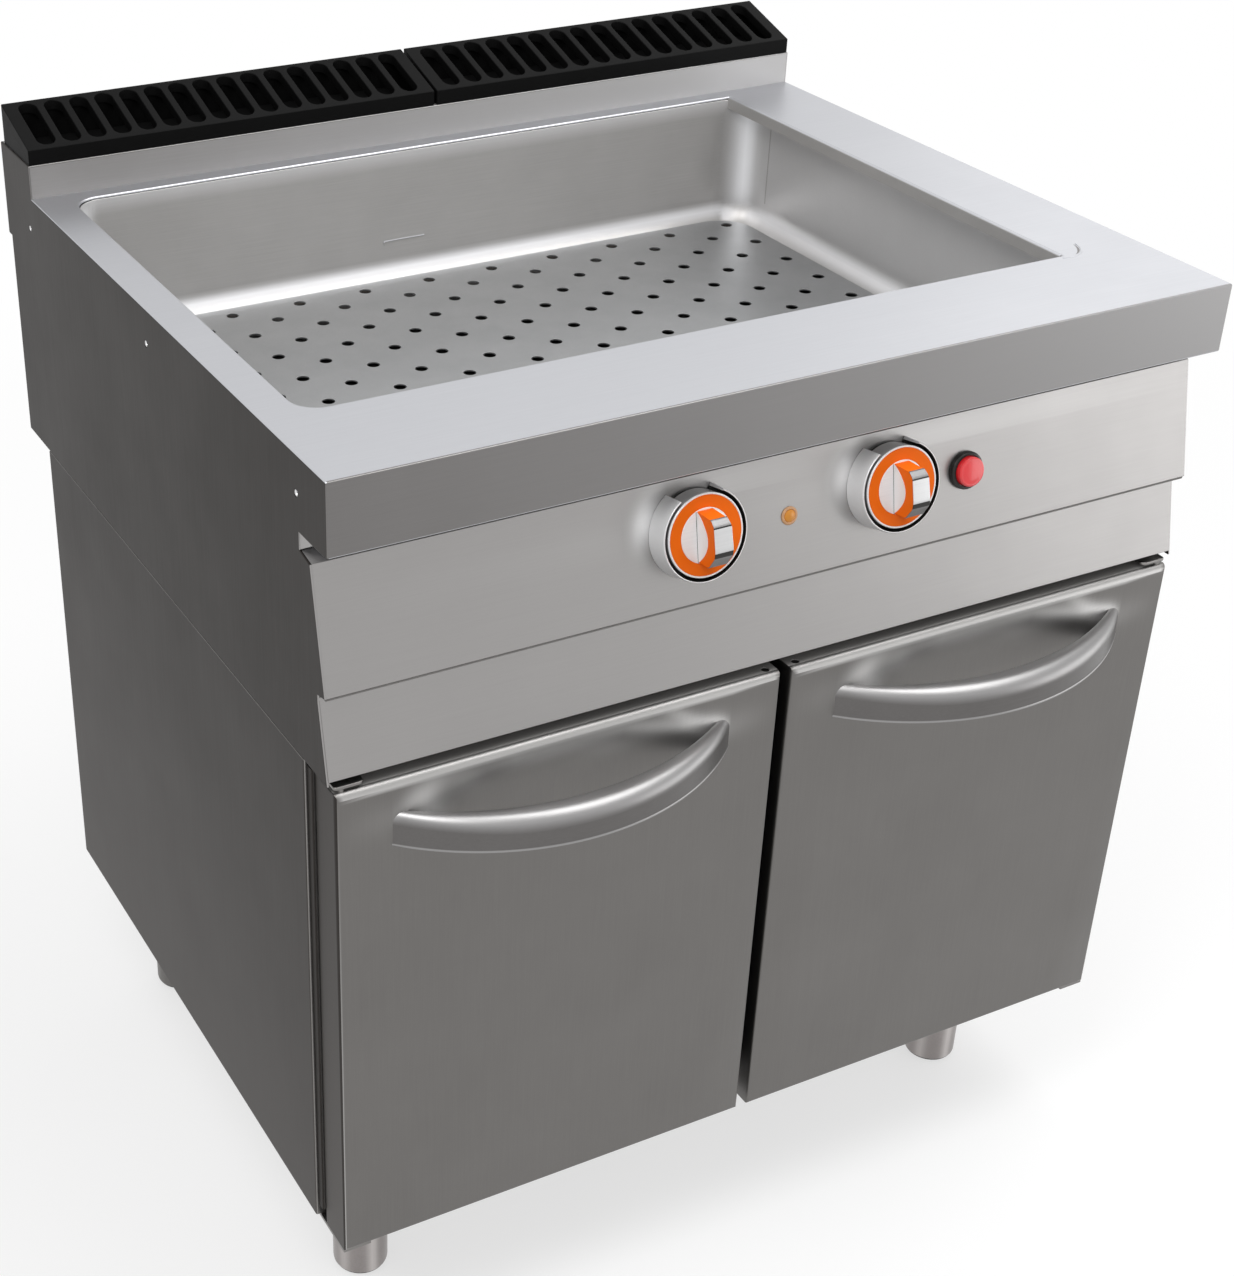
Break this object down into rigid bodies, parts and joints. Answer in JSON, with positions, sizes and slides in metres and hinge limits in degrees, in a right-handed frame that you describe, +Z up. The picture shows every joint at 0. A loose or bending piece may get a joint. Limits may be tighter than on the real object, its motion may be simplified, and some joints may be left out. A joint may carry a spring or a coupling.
{
  "type": "bain-marie",
  "caption": "Free-standing electric bain-marie: a worktop with a water well over a perforated false bottom, front controls and vent grilles, on a two-door cupboard with screw feet.",
  "frame": {"origin": "on the floor, under the middle of the whole object's box", "axes": "+X to the user's right, +Y from the front of the doors to the back, +Z up"},
  "size_m": [0.8, 0.7556, 0.9325],
  "materials": {
    "brushed_stainless": "fine brushed stainless steel",
    "satin_stainless": "satin stainless steel",
    "galvanised": "galvanised sheet",
    "enamelled_iron": "matt black enamel",
    "chromed_plastic": "satin and bright chrome",
    "orange_plastic": "satin",
    "black_plastic": "satin",
    "red_plastic": "gloss",
    "amber_lens": "clear amber",
    "brass": "nickelled"
  },
  "bodies": {
    "cabinet": {"worktop": "brushed_stainless", "right_top_strip": "brushed_stainless", "module_side_left": "brushed_stainless", "module_side_right": "brushed_stainless", "module_back": "galvanised", "module_base": "galvanised", "upstand_box": "brushed_stainless", "control_panel": "brushed_stainless", "lower_fascia": "brushed_stainless", "well_tub": "brushed_stainless", "knob_collar_left": "chromed_plastic", "knob_collar_right": "chromed_plastic", "thermostat": "black_plastic", "selector_switch": "black_plastic", "indicator_lamp": "amber_lens", "button_housing": "black_plastic", "heating_rod_left": "satin_stainless", "heating_rod_right": "satin_stainless", "terminal_box": "black_plastic", "cable_gland": "black_plastic", "drain_pipe": "satin_stainless", "drain_valve": "brass", "cupboard_side_left": "brushed_stainless", "cupboard_side_right": "brushed_stainless", "cupboard_back": "galvanised", "cupboard_floor": "brushed_stainless", "front_post_left": "satin_stainless", "front_post_right": "satin_stainless", "front_top_rail": "satin_stainless", "door_catch_left": "black_plastic", "door_catch_right": "black_plastic", "hinge_upper_left": "satin_stainless", "hinge_lower_left": "satin_stainless", "hinge_upper_right": "satin_stainless", "hinge_lower_right": "satin_stainless", "leg_front_left": "brushed_stainless", "leg_front_right": "brushed_stainless", "leg_rear_left": "brushed_stainless", "leg_rear_right": "brushed_stainless"},
    "door_left": {"door_skin_left": "brushed_stainless", "door_inner_left": "galvanised", "door_handle_left": "brushed_stainless"},
    "door_right": {"door_skin_right": "brushed_stainless", "door_inner_right": "galvanised", "door_handle_right": "brushed_stainless"},
    "knob_left": {"knob_left": "chromed_plastic", "knob_ring_left": "orange_plastic"},
    "knob_right": {"knob_right": "chromed_plastic", "knob_ring_right": "orange_plastic"},
    "push_button": {"push_button": "red_plastic"},
    "false_bottom": {"false_bottom": "brushed_stainless"},
    "grille_left": {"grille_left": "enamelled_iron"},
    "grille_right": {"grille_right": "enamelled_iron"},
    "drain_lever": {"drain_lever": "red_plastic"},
    "foot_front_left": {"foot_front_left": "brushed_stainless"},
    "foot_front_right": {"foot_front_right": "brushed_stainless"},
    "foot_rear_left": {"foot_rear_left": "brushed_stainless"},
    "foot_rear_right": {"foot_rear_right": "brushed_stainless"}
  },
  "joints": [
    {"name": "door_left_hinge", "type": "hinge", "parent": "cabinet", "child": "door_left", "pos_m": [-0.3885, -0.31115, 0.15], "axis": [0, 0, -1], "range_deg": [0, 110]},
    {"name": "door_right_hinge", "type": "hinge", "parent": "cabinet", "child": "door_right", "pos_m": [0.3885, -0.31115, 0.15], "axis": [0, 0, 1], "range_deg": [0, 110]},
    {"name": "thermostat_turn", "type": "hinge", "parent": "cabinet", "child": "knob_left", "pos_m": [-0.09, -0.30112, 0.74984], "axis": [0, 0.9799, -0.1994], "range_deg": [0, 280]},
    {"name": "selector_turn", "type": "hinge", "parent": "cabinet", "child": "knob_right", "pos_m": [0.09, -0.30112, 0.74984], "axis": [0, 0.9799, -0.1994], "range_deg": [0, 270]},
    {"name": "button_press", "type": "slide", "parent": "cabinet", "child": "push_button", "axis": [0, 0.9799, -0.1994], "range_m": [0, 0.003], "stiffness_N_per_m": 400},
    {"name": "false_bottom_lift", "type": "slide", "parent": "cabinet", "child": "false_bottom", "axis": [-0.0995, 0, 0.995], "range_m": [0, 0.15]},
    {"name": "grille_left_lift", "type": "slide", "parent": "cabinet", "child": "grille_left", "axis": [0, 0, 1], "range_m": [0, 0.05]},
    {"name": "grille_right_lift", "type": "slide", "parent": "cabinet", "child": "grille_right", "axis": [0, 0, 1], "range_m": [0, 0.05]},
    {"name": "drain_lever_turn", "type": "hinge", "parent": "cabinet", "child": "drain_lever", "pos_m": [0.286, 0.1785, 0.5204], "axis": [0, -1, 0], "range_deg": [0, 90]},
    {"name": "foot_front_left_screw", "type": "slide", "parent": "cabinet", "child": "foot_front_left", "axis": [0, 0, -1], "range_m": [0, 0.05]},
    {"name": "foot_front_right_screw", "type": "slide", "parent": "cabinet", "child": "foot_front_right", "axis": [0, 0, -1], "range_m": [0, 0.05]},
    {"name": "foot_rear_left_screw", "type": "slide", "parent": "cabinet", "child": "foot_rear_left", "axis": [0, 0, -1], "range_m": [0, 0.05]},
    {"name": "foot_rear_right_screw", "type": "slide", "parent": "cabinet", "child": "foot_rear_right", "axis": [0, 0, -1], "range_m": [0, 0.05]}
  ]
}
